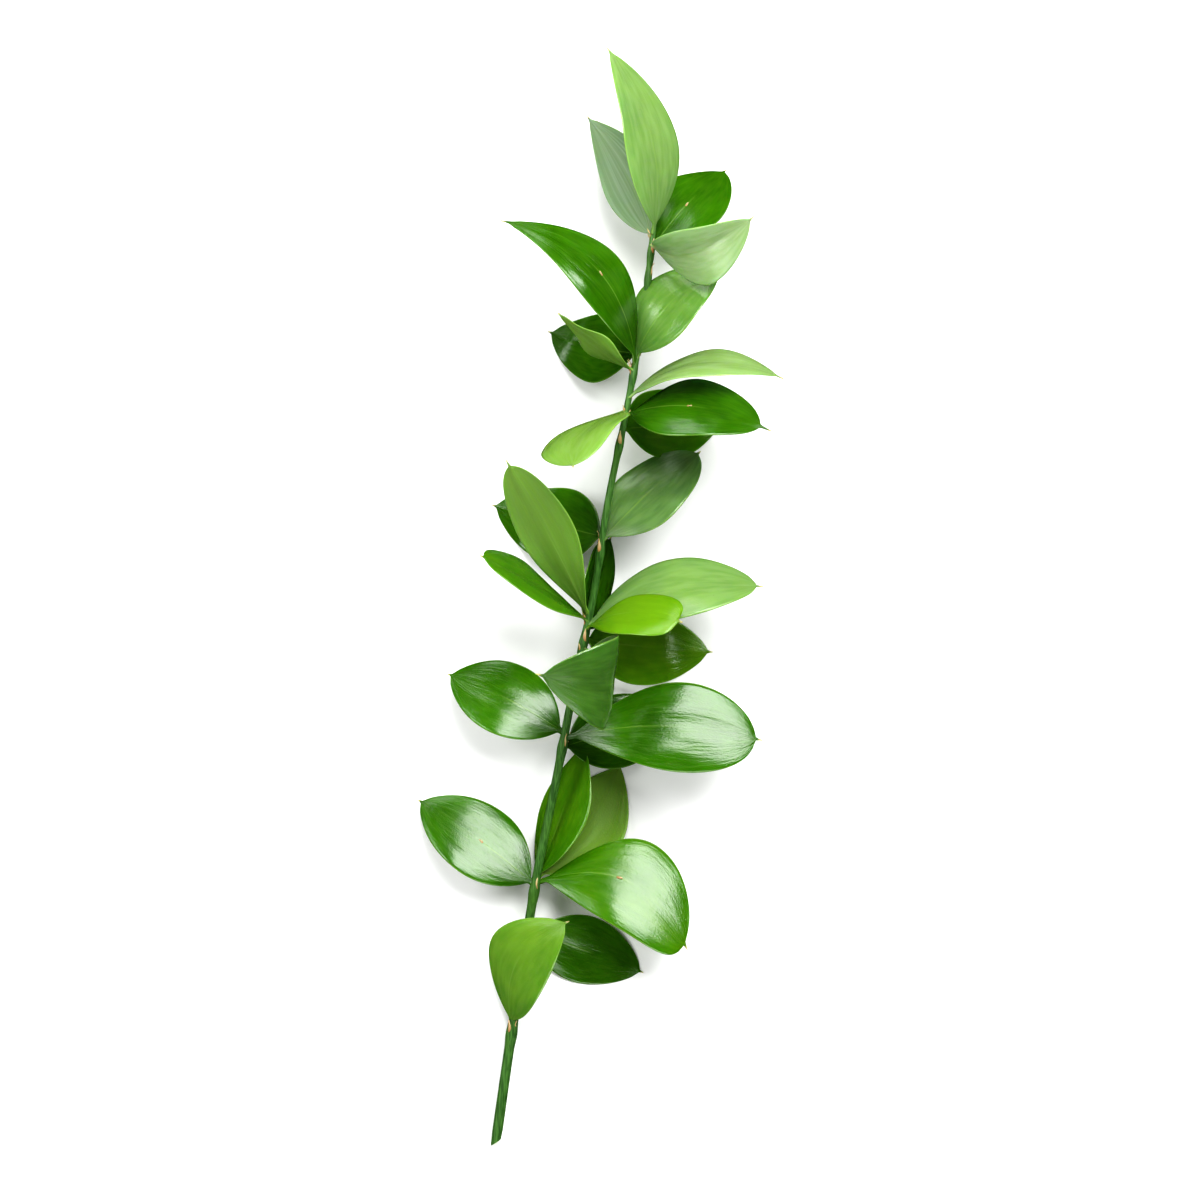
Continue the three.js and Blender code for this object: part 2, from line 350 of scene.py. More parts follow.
ribbed_rod = sweep_tree()
ROD_SIZES = {
    "Sides": AXIS_SIDES, "Ribs": RIB_COUNT, "Rib Depth": RIB_DEPTH, "Cut Slant": CUT_SLANT,
    "Cut Length": CUT_LENGTH, "Cut End": axis_at(CUT_END_Y),
}
ring_count = round(AXIS_LENGTH / RING_STEP)
ring_heights = [CUT_END_Y + AXIS_LENGTH * i / ring_count for i in range(ring_count + 1)]
ring_radii = [axis_radius(y) for y in ring_heights]
axis_line = line_piece("axis", [axis_at(y) for y in ring_heights], ring_radii)
axis = grow(axis_line, ribbed_rod, {**ROD_SIZES, "Material": axis_material()})
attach(axis, "root")
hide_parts("leafy_stem")

# ---- The cut face ----
# The oval where shears went through the axis: moist pale pith with darker strands in it, inside a
# thin green rind. It is a wafer that lies on the slanted end.

WAFER_PROUD = 0.08 * MM
WAFER_DEPTH = 0.5 * MM
PITH_SHARE = 0.9
PITH_GREEN = rgb(0.50, 0.60, 0.26)
PITH_PALE = rgb(0.70, 0.76, 0.46)
STRAND_GREEN = rgb(0.26, 0.36, 0.10)
PITH_BLOTCH_EDGE = (0.3, 0.7)
STRAND_EDGE = (0.58, 0.68)
PITH_ROUGHNESS = 0.4
PITH_BLOTCH_ROUGHNESS = 0.3


def cut_face_material():
    """Moist pith with darker strands, rough in blotches where it begins to dry."""
    material, tree, shader = new_material("cut_pith", Specular_IOR_Level=0.4)
    strands, blotches = streaks_of(tree, streak_scale=2600.0, blotch_scale=700.0, stretch=0.2)
    pith = mixed_colour(smooth_step(blotches, *PITH_BLOTCH_EDGE), PITH_GREEN, PITH_PALE)
    pith = mixed_colour(smooth_step(strands, *STRAND_EDGE), pith, STRAND_GREEN)
    put(tree, pith, shader, "Base Color")
    put(tree, PITH_ROUGHNESS + PITH_BLOTCH_ROUGHNESS * blotches, shader, "Roughness")
    put(tree, bump(strands, strength=0.6, distance=0.1 * MM), shader, "Normal")
    return material


cut_centre = axis_at(CUT_END_Y)
inward = (axis_at(ring_heights[1]) - cut_centre).normalized()
wafer_points = [cut_centre + inward * depth for depth in (-WAFER_PROUD, WAFER_DEPTH)]
wafer = line_piece("cut_face", wafer_points, [PITH_SHARE * AXIS_RADIUS_AT_CUT] * 2)
cut_face = grow(wafer, ribbed_rod, {**ROD_SIZES, "Material": cut_face_material()})
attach(cut_face, "root")
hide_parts("leafy_stem")

# ---- The blades ----
# Flat leathery cladodes, which do a leaf's work. Each grew out of the axis on a narrow root, bows
# and curls its own way, and ends in a dry thorn. `youth_and_light` goes from deep green to
# young yellow-green, partly by the blade's age and partly as painted light and shade for how lit
# the blade is; `wax_and_sheen` is how much pale wax lies on it, partly as a painted sheen; and
# `scale` says that it bore a flower.

ROOT_HALF_WIDTH = 1.3 * MM
NARROW_ROOT_DIVISOR = 3.0
THORN_HALF_WIDTH = 0.14 * MM
BLADE_START = 0.05
CUSP_FLARE = 0.05
CUSP_FLARE_BEND = 1.5
FULLNESS = 1.7
MARGIN_THICKNESS = 0.3 * MM
RIB_THICKNESS = 0.45 * MM
ROOT_THICKNESS = 1.0 * MM
ROOT_TAPER = 0.06
PRESS_BEND = 3 * MM
MIDRIB_ROUNDING = 0.2
LEAST_CURL = 1e-4
WAVE_COUNT = 1.5
WAVE_OFFSET = 0.25
QUILTS_ACROSS = 2.2
QUILTS_ALONG = 2.6
QUILT_SHIFT = 40.0
CREASE_WIDTH = 0.05
CREASE_FADE = (0.3, 0.6)
PHASE_STEP = 0.382
BLADE_ROWS = 56
BLADE_COLUMNS = 28
END_CROWDING = 0.45
SLOPE_STEP = 0.01
UNDER_SHEET_BELOW = -0.5

# Lengths are in millimetres and angles in degrees. `at` is the height of the root on the axis and
# `tip` the place of the thorn. The blade rolls about the line between them and twists along it, its
# midrib arches up and sweeps aside, and its halves fold up and curl down again. It is broadest at
# the share `widest` of its length, stays fuller beyond that the smaller `taper` is, and draws out
# into the thorn over the last `cusp`. Its margins ripple by `wave`, its face swells by `quilting`,
# and its midrib lies in a groove as deep as `crease`.
USUAL_BLADE = dict(
    roll=0, twist=0, arch=8, sweep=0, fold=12, curl=24, widest=0.46, wave=0.8,
    taper=0.8, cusp=0.035, quilting=0.5, crease=0.07, youth_and_light=0.4, wax_and_sheen=0, scale=False,
)
# Each blade's youth_and_light and wax_and_sheen are partly its real age and wax and partly painted light,
# shade and sheen, set for how lit that blade is.
WHORLS = {
    "terminal_whorl": [
        dict(at=166, tip=(3, 250, 50), width=38, roll=50, arch=11, sweep=-1, taper=1.05, youth_and_light=0.7,
             wax_and_sheen=0.6),
        dict(at=164, tip=(-6, 222, 16), width=30, roll=145, arch=4, sweep=1, taper=1.1, youth_and_light=0.3,
             wax_and_sheen=0.95),
        dict(at=161, tip=(69, 172, 72), width=34, roll=40, arch=13, fold=22, curl=10, youth_and_light=0.9, wax_and_sheen=1.3),
        dict(at=159, tip=(58, 198, 4), width=34, roll=-25, arch=4, youth_and_light=0.3, scale=True),
    ],
    "second_whorl": [
        dict(at=110, tip=(55, 150, 44), width=34, roll=-36, arch=9, fold=18, youth_and_light=0.55, wax_and_sheen=0.3),
        dict(at=107, tip=(-45, 172, 44), width=30, roll=38, arch=22, sweep=-3, fold=8, taper=1.1,
             youth_and_light=0.3, scale=True),
        dict(at=104, tip=(-19, 130, 46), width=24, roll=-72, arch=2, sweep=-3, wave=1.6, youth_and_light=1, wax_and_sheen=0.4),
        dict(at=112, tip=(-24, 124, -8), width=34, roll=10, arch=-6, youth_and_light=0.2),
    ],
    "third_whorl": [
        dict(at=92, tip=(83, 100, 50), width=36, roll=-70, arch=12, youth_and_light=0.95, wax_and_sheen=0.8),
        dict(at=84, tip=(77, 76, 62), width=38, roll=-45, arch=9, taper=0.7, cusp=0.07, youth_and_light=0.27,
             scale=True),
        dict(at=78, tip=(60, 88, -8), width=34, roll=-10, arch=-7, youth_and_light=0.55),
        dict(at=86, tip=(-12, 59, 84), width=42, roll=62, arch=4, sweep=-8, taper=0.6, youth_and_light=1, wax_and_sheen=0.4),
    ],
    "fourth_whorl": [
        dict(at=27, tip=(46, 68, 20), width=36, roll=-36, arch=5, sweep=-2, taper=0.7, youth_and_light=0.2,
             wax_and_sheen=0.4),
        dict(at=29, tip=(-50, 44, -9), width=36, roll=5, arch=-8, youth_and_light=0.25),
    ],
    "fifth_whorl": [
        dict(at=-8, tip=(-43, 64, 42), width=32, roll=140, arch=-3, sweep=4, widest=0.6, taper=0.95,
             cusp=0.045, youth_and_light=0.9, wax_and_sheen=0.15),
        dict(at=-10, tip=(-54, 20, 66), width=38, roll=74, arch=2, twist=-20, taper=0.6, youth_and_light=0.48),
        dict(at=-11, tip=(74, 6, 42), width=40, roll=-48, arch=10, taper=0.65, youth_and_light=0.65, wax_and_sheen=0.55),
        dict(at=-13, tip=(37, -10, 70), width=28, roll=-50, arch=7, widest=0.64, taper=0.5, youth_and_light=0.9),
        dict(at=-22, tip=(-29, -33, 74), width=44, roll=-37, arch=26, sweep=5, youth_and_light=0.2, wax_and_sheen=0.15),
        dict(at=-15, tip=(5, 29, 4), width=30, roll=60, arch=0, youth_and_light=0.15),
        dict(at=-18, tip=(52, -24, -7), width=36, roll=-8, arch=-6, youth_and_light=0.68),
    ],
    "sixth_whorl": [
        dict(at=-63, tip=(74, -64, 34), width=42, roll=-15, arch=8, sweep=4, widest=0.6, youth_and_light=0.32),
        dict(at=-61, tip=(-70, -34, 10), width=36, roll=20, arch=6, youth_and_light=0.35),
        dict(at=-67, tip=(40, -52, -5), width=34, roll=0, arch=-6, youth_and_light=0.2),
    ],
    "seventh_whorl": [
        dict(at=-128, tip=(-7, -66, 12), width=34, roll=-52, arch=-2, youth_and_light=0.55),
        dict(at=-130, tip=(40, -160, 26), width=44, roll=-20, arch=8, sweep=16, widest=0.56, taper=0.65,
             crease=0.2, youth_and_light=0.5, scale=True),
        dict(at=-127, tip=(10, -75, -3), width=38, roll=160, arch=5, sweep=3, taper=1, youth_and_light=1),
        dict(at=-131, tip=(-84, -92, 4), width=36, roll=20, arch=5, youth_and_light=0.3, scale=True),
    ],
    "lowest_blades": [
        dict(at=-152, tip=(20, -172, -2), width=32, roll=10, arch=-3, youth_and_light=0.3),
        dict(at=-196, tip=(-14, -146, 38), width=36, roll=-30, arch=6, sweep=10, youth_and_light=0.75, wax_and_sheen=0.15),
    ],
}

LENGTH_KEYS = ("width", "arch", "sweep", "wave", "quilting", "crease")
ANGLE_KEYS = ("roll", "twist", "fold", "curl")
SHARE_KEYS = ("widest", "taper", "cusp", "phase", "youth_and_light", "wax_and_sheen")
SHAPE_KEYS = (*LENGTH_KEYS, *ANGLE_KEYS, "widest", "taper", "cusp", "phase")
SIZE_INPUTS = {
    "Root Half Width": "Float", "Thorn Half Width": "Float", "Cusp Flare": "Float", "Fullness": "Float",
    "Margin Thickness": "Float", "Rib Thickness": "Float", "Root Thickness": "Float", "Press Bend": "Float",
}


def hump(value):
    """1 where the value is 0, falling off smoothly to both sides."""
    return maths("EXPONENT", value ** 2.0 * -1.0)


def blade_surface_tree():
    """The rule of a blade's mid-surface: its place at `Along` 0 to 1 from root to thorn, and at
    `Across` -1 to 1 from its right margin to its left."""
    inputs = {"Along": "Float", "Across": "Float", **SIZE_INPUTS}
    tree, given, out = new_tree("blade_surface", "GeometryNodeTree", inputs, {"Position": "Vector"})
    key = {name: named_attribute(tree, name) for name in SHAPE_KEYS}
    root = named_attribute(tree, "root", "FLOAT_VECTOR")
    chord = named_attribute(tree, "chord", "FLOAT_VECTOR")
    t = given["Along"]
    u = given["Across"]

    side_sign = maths("SIGN", u)
    away = maths("ABSOLUTE", u)
    level = vector_of(tree, part_of(chord, "Y") * -1.0, part_of(chord, "X"), 0.0)
    flat_side = vector_maths("NORMALIZE", level)
    flat_up = vector_maths("NORMALIZE", vector_maths("CROSS_PRODUCT", chord, flat_side))

    def turned(angle):
        sine = maths("SINE", angle)
        cosine = maths("COSINE", angle)
        return flat_side * cosine + flat_up * sine, flat_up * cosine - flat_side * sine

    # The midrib, and the directions across the blade and up from it.
    bow = 4.0 * t * (1.0 - t)
    soft_bow = maths("SQRT", bow)
    rib_side, rib_up = turned(key["roll"])
    rib = root + chord * t + rib_up * (key["arch"] * bow) + rib_side * (key["sweep"] * bow)
    side, up = turned(key["roll"] + key["twist"] * (t - 0.5))

    # Half the blade's width: a broad middle between a narrow root and a flared thorn.
    end = 1.0 - key["cusp"]
    s = maths("MINIMUM", maths("MAXIMUM", (t - BLADE_START) / (end - BLADE_START), 0.0), 1.0)
    widest = key["widest"]
    swell = (s / widest) ** (given["Fullness"] * widest)
    fall = ((1.0 - s) / (1.0 - widest)) ** (given["Fullness"] * (1.0 - widest))
    past_widest = maths("GREATER_THAN", s, widest)
    outline = (swell * fall) ** (1.0 + (key["taper"] - 1.0) * past_widest)
    root_half = maths("MINIMUM", given["Root Half Width"], key["width"] / NARROW_ROOT_DIVISOR)
    from_thorn = maths("MINIMUM", (1.0 - t) / (key["cusp"] * 2.0), 1.0)
    flare = given["Cusp Flare"] * key["width"] * t * from_thorn ** CUSP_FLARE_BEND
    narrow = root_half + (given["Thorn Half Width"] - root_half) * t + flare
    half = maths("SQRT", (key["width"] * 0.5 * outline) ** 2.0 + narrow ** 2.0)

    # How far out from the midrib a point lies, and how high over it.
    lift = key["fold"]
    bend = maths("MAXIMUM", key["curl"], LEAST_CURL)
    reach = half * (maths("SINE", lift) - maths("SINE", lift - bend * away)) / bend
    rounded = maths("SQRT", (u * u + MIDRIB_ROUNDING**2) / (1 + MIDRIB_ROUNDING**2))
    rise = half * (maths("COSINE", lift - bend * rounded) - maths("COSINE", lift)) / bend
    wave_turn = (t * WAVE_COUNT + key["phase"] + side_sign * WAVE_OFFSET) * math.tau
    ripple = key["wave"] * u * u * maths("SINE", wave_turn)
    quilt_place = vector_of(tree, u * QUILTS_ACROSS, t * QUILTS_ALONG, key["phase"] * QUILT_SHIFT)
    quilts = key["quilting"] * (noise(tree, quilt_place, scale=1.0, detail=1.0) * 2.0 - 1.0)
    groove = key["crease"] * hump(u / CREASE_WIDTH) * (1.0 - smooth_step(t, *CREASE_FADE))
    height = rise + soft_bow * (ripple + quilts - groove)
    place = rib + side * (side_sign * reach) + up * height
    tree.links.new(place.socket, out.inputs["Position"])
    return tree


def blades_tree(surface):
    """A closed blade at every point: two sheets that follow the rule, joined at the margin."""
    inputs = {
        "Geometry": "Geometry", "Rows": "Int", "Columns": "Int", **SIZE_INPUTS,
        "Upper Material": "Material", "Under Material": "Material",
    }
    tree, given, out = new_tree("grown_blades", "GeometryNodeTree", inputs, {"Geometry": "Geometry"})

    def stored(geometry, name, value, data_type="FLOAT", domain="POINT"):
        inputs = {"Geometry": geometry, "Name": name, "Value": value}
        node = add_node(tree, "GeometryNodeStoreNamedAttribute", inputs, data_type=data_type, domain=domain)
        return Field(tree, node.outputs["Geometry"])

    # A flat unit block, with its rows crowded towards both ends, stands for the blade at each point.
    block = add_node(tree, "GeometryNodeMeshCube", {
        "Size": (2.0, 1.0, 2.0), "Vertices X": given["Columns"] + 1.0,
        "Vertices Y": given["Rows"] + 1.0, "Vertices Z": 2,
    })
    place = Field(tree, tree.nodes.new("GeometryNodeInputPosition").outputs[0])
    even = part_of(place, "Y") + 0.5
    crowded = 0.5 - 0.5 * maths("COSINE", even * math.pi)
    unit_blade = stored(Field(tree, block.outputs["Mesh"]), "across", part_of(place, "X") * -1.0)
    unit_blade = stored(unit_blade, "along", even + (crowded - even) * END_CROWDING)
    unit_blade = stored(unit_blade, "sheet", part_of(place, "Z"))
    along = named_attribute(tree, "along")
    across = named_attribute(tree, "across")
    sheet = named_attribute(tree, "sheet")
    unit_blade = stored(
        unit_blade, "blade_map", vector_of(tree, across * 0.5 + 0.5, along, 0.0), "FLOAT2", "CORNER"
    )
    copies = add_node(tree, "GeometryNodeInstanceOnPoints", {
        "Points": given["Geometry"], "Instance": unit_blade,
    })
    real = changed(tree, "GeometryNodeRealizeInstances", Field(tree, copies.outputs["Instances"]))

    def surface_at(t, u):
        sizes = {label: given[label] for label in SIZE_INPUTS}
        node = add_node(tree, "GeometryNodeGroup", {"Along": t, "Across": u, **sizes}, node_tree=surface)
        return Field(tree, node.outputs["Position"])

    # The mid-surface, the way up from it, and half the thickness, most at the root and the midrib.
    middle = surface_at(along, across)
    ahead = surface_at(maths("MINIMUM", along + SLOPE_STEP, 1.0), across)
    behind = surface_at(maths("MAXIMUM", along - SLOPE_STEP, 0.0), across)
    left = surface_at(along, maths("MINIMUM", across + SLOPE_STEP, 1.0))
    right = surface_at(along, maths("MAXIMUM", across - SLOPE_STEP, -1.0))
    up = vector_maths("NORMALIZE", vector_maths("CROSS_PRODUCT", ahead - behind, left - right))

    rib_share = given["Rib Thickness"] * (1.0 - maths("ABSOLUTE", across))
    root_share = given["Root Thickness"] * maths("EXPONENT", along / -ROOT_TAPER)
    half = (given["Margin Thickness"] + rib_share + root_share) * 0.5

    # Where a blade would sink into the table, it is bent up softly and lies flat on it.
    soft = given["Press Bend"]
    depth = half - part_of(middle, "Z")
    pressed = maths("MINIMUM", maths("MAXIMUM", (depth + soft) / (soft * 2.0), 0.0), 1.0)
    lying = half + soft * (1.0 - pressed) ** 2.0
    raised = maths("MAXIMUM", lying - part_of(middle, "Z"), 0.0)
    point = middle + vector_of(tree, 0.0, 0.0, raised)
    upright = vector_of(tree, 0.0, 0.0, maths("SIGN", part_of(up, "Z")))
    normal = vector_maths("NORMALIZE", up + (upright - up) * pressed)

    placed = {"Position": point + normal * (half * sheet)}
    shaped = changed(tree, "GeometryNodeSetPosition", real, placed)
    smooth = changed(tree, "GeometryNodeSetShadeSmooth", shaped)
    whole = changed(tree, "GeometryNodeRealizeInstances", smooth)
    upper = changed(tree, "GeometryNodeSetMaterial", whole, {"Material": given["Upper Material"]})
    under = changed(tree, "GeometryNodeSetMaterial", upper, {
        "Material": given["Under Material"],
        "Selection": maths("LESS_THAN", sheet, UNDER_SHEET_BELOW),
    })
    tree.links.new(under.socket, out.inputs["Geometry"])
    return tree


def blade_attribute(tree, name):
    return Field(tree, add_node(tree, "ShaderNodeAttribute", attribute_name=name).outputs["Fac"])


def blade_map(tree):
    """The place on the blade: X across it from margin to margin, Y from root to thorn, 0 to 1 each."""
    return Field(tree, add_node(tree, "ShaderNodeUVMap", uv_map="blade_map").outputs["UV"])


VEIN_EDGE = (0.4, 0.62)
VEIN_SHIFT = 30.0
VEIN_DETAIL = 3.0
BAND_COUNT_SHARE = 0.4
BAND_LENGTH_SHARE = 0.7
BAND_EDGE = (0.3, 0.7)
BAND_SHIFT = 50.0
GRAIN_COUNT = 36.0
GRAIN_LENGTH = 80.0
GRAIN_SHIFT = 70.0
# Painted shade: how far from the root the root end is darkened.
ROOT_SHADE_END = 0.4
MIDRIB_WIDTH = 0.022
MIDRIB_FADE = (0.4, 0.62)
MARGIN_START = 0.95
SPECK_COUNT = 3.0
SPECK_LENGTH = 12.0
SPECK_SHIFT = 90.0
SPECK_SCALE = 2.0
SPECK_EDGE = (0.03, 0.09)
SPECK_CHANCE = (0.78, 0.8)
THORN_EDGE = (0.972, 0.992)
VEIN_RELIEF = 0.7
BAND_RELIEF = 0.5
GRAIN_RELIEF = 0.4
MIDRIB_RELIEF = 0.3
# The Base mark is painted shade at the root end of each blade.
MARK_NAMES = ("Veins", "Bands", "Base", "Crease", "Margin", "Specks", "Thorn", "Height")


def veins_group():
    """The marks on a blade: fine veins from root to thorn, broad bands of them, painted shade at the
    root end, a pale midrib, the thin dry margin, a few brown specks and the thorn. Each is 0
    where there is none of it. Every blade shifts the patterns, so that no two are alike."""
    inputs = {"Vein Count": "Float", "Vein Length": "Float"}
    outputs = {name: "Float" for name in MARK_NAMES}
    tree, given, out = new_tree("blade_veins", "ShaderNodeTree", inputs, outputs)
    on_blade = blade_map(tree)
    across = part_of(on_blade, "X") * 2.0 - 1.0
    along = part_of(on_blade, "Y")
    away = maths("ABSOLUTE", across)
    blade = blade_attribute(tree, "phase")

    def pattern_place(count, length, shift):
        return vector_of(tree, across * count, along * length, blade * shift)

    vein_place = pattern_place(given["Vein Count"], given["Vein Length"], VEIN_SHIFT)
    fine = noise(tree, vein_place, scale=1.0, detail=VEIN_DETAIL)
    band_count = given["Vein Count"] * BAND_COUNT_SHARE
    band_length = given["Vein Length"] * BAND_LENGTH_SHARE
    wide = noise(tree, pattern_place(band_count, band_length, BAND_SHIFT), scale=1.0, detail=1.0)
    grain_place = pattern_place(GRAIN_COUNT, GRAIN_LENGTH, GRAIN_SHIFT)
    grain = noise(tree, grain_place, scale=1.0, detail=1.0)
    crease = hump(across / MIDRIB_WIDTH) * (1.0 - smooth_step(along, *MIDRIB_FADE))
    speck_place = pattern_place(SPECK_COUNT, SPECK_LENGTH, SPECK_SHIFT)
    speck = add_node(tree, "ShaderNodeTexVoronoi", {"Vector": speck_place, "Scale": SPECK_SCALE})
    speck_chance = part_of(Field(tree, speck.outputs["Color"]), "X")
    speck_spot = 1.0 - smooth_step(Field(tree, speck.outputs["Distance"]), *SPECK_EDGE)
    relief = fine * VEIN_RELIEF + wide * BAND_RELIEF + grain * GRAIN_RELIEF + crease * MIDRIB_RELIEF
    results = {
        "Veins": smooth_step(fine, *VEIN_EDGE),
        "Bands": smooth_step(wide, *BAND_EDGE),
        # Painted shade: darker towards the root end.
        "Base": 1.0 - smooth_step(along, 0.0, ROOT_SHADE_END),
        "Crease": crease,
        "Margin": smooth_step(away, MARGIN_START, 1.0),
        "Specks": speck_spot * smooth_step(speck_chance, *SPECK_CHANCE),
        "Thorn": smooth_step(along, *THORN_EDGE),
        "Height": relief,
    }
    for label, field in results.items():
        tree.links.new(field.socket, out.inputs[label])
    return tree


blade_veins = veins_group()


def blade_marks(tree, vein_count, vein_length):
    inputs = {"Vein Count": vein_count, "Vein Length": vein_length}
    node = add_node(tree, "ShaderNodeGroup", inputs, node_tree=blade_veins)
    return {socket.name: Field(tree, socket) for socket in node.outputs}


def blade_blotches(tree):
    """Soft blotches in which a blade is a little younger or older, around 0."""
    return streaks_of(tree, streak_scale=600.0, blotch_scale=55.0, stretch=0.3)[1] - 0.5


def stained(skin, marks, stains):
    """A skin with each mark's colour laid over it in turn, at its share."""
    for mark, (share, colour) in stains.items():
        skin = mixed_colour(marks[mark] * share, skin, colour)
    return skin


BLADE_FLESH = dict(
    Subsurface_Weight=0.3, Subsurface_Scale=0.0015, Subsurface_Radius=(0.35, 1.0, 0.05),
)
# Deep, mid and light greens, picked by each blade's tone, which is partly age and partly painted light and
# shade.
UPPER_DEEP_GREEN = rgb(0.012, 0.055, 0.0004)
UPPER_MID_GREEN = rgb(0.042, 0.146, 0.0004)
UPPER_LIGHT_GREEN = rgb(0.145, 0.285, 0.008)
# Pale wax colour, partly standing for a painted sheen.
UPPER_WAX_AND_SHEEN = rgb(0.30, 0.40, 0.21)
MID_GREEN_EDGE = (-0.1, 0.5)
LIGHT_GREEN_EDGE = (0.35, 1.05)
UPPER_VEINS = {"Veins": (0.12, rgb(0.10, 0.22, 0.008))}
UPPER_STAINS = {
    "Crease": (0.35, rgb(0.22, 0.36, 0.07)), "Margin": (0.4, rgb(0.26, 0.40, 0.10)),
    "Specks": (0.6, rgb(0.14, 0.09, 0.03)), "Thorn": (1.0, rgb(0.60, 0.54, 0.24)),
}
UPPER_BLOTCH_AGE = 0.5
UPPER_BAND_AGE = 0.08
# How much the painted shade darkens the root end.
UPPER_ROOT_SHADE = 0.2
UPPER_WAX_SHEEN_COVER = 0.6
UPPER_WAX_SHEEN_BANDS = 0.2
UPPER_ROUGHNESS = 0.17
UPPER_VEIN_ROUGHNESS = 0.05
UPPER_BLOTCH_ROUGHNESS = 0.08


def upper_material():
    """The upper skin: saturated green under a clear wax, glossy, with faint veins. Its green per blade is
    partly painted light and shade, its wax partly a painted sheen, and its root end has painted shade.
    """
    material, tree, shader = new_material("blade_upper", Specular_IOR_Level=0.6, **BLADE_FLESH)
    marks = blade_marks(tree, vein_count=18.0, vein_length=9.0)
    blotches = blade_blotches(tree)
    # Each blade's tone: partly its age, partly painted light and shade.
    youth_and_light = blade_attribute(tree, "youth_and_light") + blotches * UPPER_BLOTCH_AGE
    # Painted shade: the root end of each blade is made darker.
    youth_and_light = youth_and_light + (marks["Bands"] - 0.5) * UPPER_BAND_AGE - marks["Base"] * UPPER_ROOT_SHADE
    skin = mixed_colour(smooth_step(youth_and_light, *MID_GREEN_EDGE), UPPER_DEEP_GREEN, UPPER_MID_GREEN)
    skin = mixed_colour(smooth_step(youth_and_light, *LIGHT_GREEN_EDGE), skin, UPPER_LIGHT_GREEN)
    skin = stained(skin, marks, UPPER_VEINS)
    # Pale wax over the skin, partly a painted sheen where light would glance off the blade.
    wax_sheen = blade_attribute(tree, "wax_and_sheen") * (UPPER_WAX_SHEEN_COVER + UPPER_WAX_SHEEN_BANDS * marks["Bands"])
    skin = stained(mixed_colour(wax_sheen, skin, UPPER_WAX_AND_SHEEN), marks, UPPER_STAINS)
    put(tree, skin, shader, "Base Color")
    unevenness = UPPER_VEIN_ROUGHNESS * marks["Veins"] + UPPER_BLOTCH_ROUGHNESS * blotches
    put(tree, UPPER_ROUGHNESS + unevenness, shader, "Roughness")
    put(tree, bump(marks["Height"], strength=0.8, distance=0.18 * MM), shader, "Normal")
    return material


# Deep and light greens of the under skin, picked by a tone that is partly age and partly painted light and
# shade.
UNDER_DEEP_GREEN = rgb(0.042, 0.105, 0.012)
UNDER_LIGHT_GREEN = rgb(0.145, 0.27, 0.02)
# Pale wax colour of the under skin, partly standing for a painted sheen.
UNDER_WAX_AND_SHEEN = rgb(0.28, 0.37, 0.25)
UNDER_LIGHT_GREEN_EDGE = (0.0, 0.9)
UNDER_VEINS = {"Veins": (0.25, rgb(0.14, 0.23, 0.06))}
UNDER_STAINS = {
    "Crease": (0.3, rgb(0.26, 0.40, 0.13)), "Margin": (0.4, rgb(0.30, 0.42, 0.14)),
    "Specks": (0.6, rgb(0.14, 0.09, 0.03)), "Thorn": (1.0, rgb(0.58, 0.50, 0.26)),
}
UNDER_BLOTCH_AGE = 0.4
UNDER_WAX_SHEEN_COVER = 0.6
UNDER_WAX_SHEEN_BANDS = 0.3
UNDER_WAX_SHEEN_VEINS = 0.2
UNDER_ROUGHNESS = 0.46
UNDER_VEIN_ROUGHNESS = 0.14


def under_material():
    """The under skin: paler, greyer and nearly matte, with the veins standing out a little. Its green per
    blade is partly painted light and shade, and its wax partly a painted sheen.
    """
    material, tree, shader = new_material("blade_under", Specular_IOR_Level=0.35, **BLADE_FLESH)
    marks = blade_marks(tree, vein_count=22.0, vein_length=1.6)
    # Each blade's tone: partly its age, partly painted light and shade.
    youth_and_light = blade_attribute(tree, "youth_and_light") + blade_blotches(tree) * UNDER_BLOTCH_AGE
    skin = mixed_colour(smooth_step(youth_and_light, *UNDER_LIGHT_GREEN_EDGE), UNDER_DEEP_GREEN, UNDER_LIGHT_GREEN)
    skin = stained(skin, marks, UNDER_VEINS)
    # Pale wax over the skin, partly a painted sheen where light would glance off the blade.
    wax_sheen = blade_attribute(tree, "wax_and_sheen") * (UNDER_WAX_SHEEN_COVER + UNDER_WAX_SHEEN_BANDS * marks["Bands"])
    wax_sheen = wax_sheen * (1.0 - UNDER_WAX_SHEEN_VEINS * marks["Veins"])
    skin = stained(mixed_colour(wax_sheen, skin, UNDER_WAX_AND_SHEEN), marks, UNDER_STAINS)
    put(tree, skin, shader, "Base Color")
    put(tree, UNDER_ROUGHNESS + UNDER_VEIN_ROUGHNESS * marks["Veins"], shader, "Roughness")
    put(tree, bump(marks["Height"], strength=0.7, distance=0.14 * MM), shader, "Normal")
    return material


def points_piece(name, blades):
    """A point for each blade, which carries the values that shape and tint the blade."""
    mesh = bpy.data.meshes.new(name)
    mesh.from_pydata([blade["root"] for blade in blades], [], [])
    units = dict.fromkeys(LENGTH_KEYS, MM) | dict.fromkeys(ANGLE_KEYS, math.pi / 180)
    for key in (*LENGTH_KEYS, *ANGLE_KEYS, *SHARE_KEYS):
        values = [blade[key] * units.get(key, 1) for blade in blades]
        mesh.attributes.new(key, "FLOAT", "POINT").data.foreach_set("value", values)
    for key in ("root", "chord"):
        values = [number for blade in blades for number in blade[key]]
        mesh.attributes.new(key, "FLOAT_VECTOR", "POINT").data.foreach_set("vector", values)
    return bpy.data.objects.new(name, mesh)


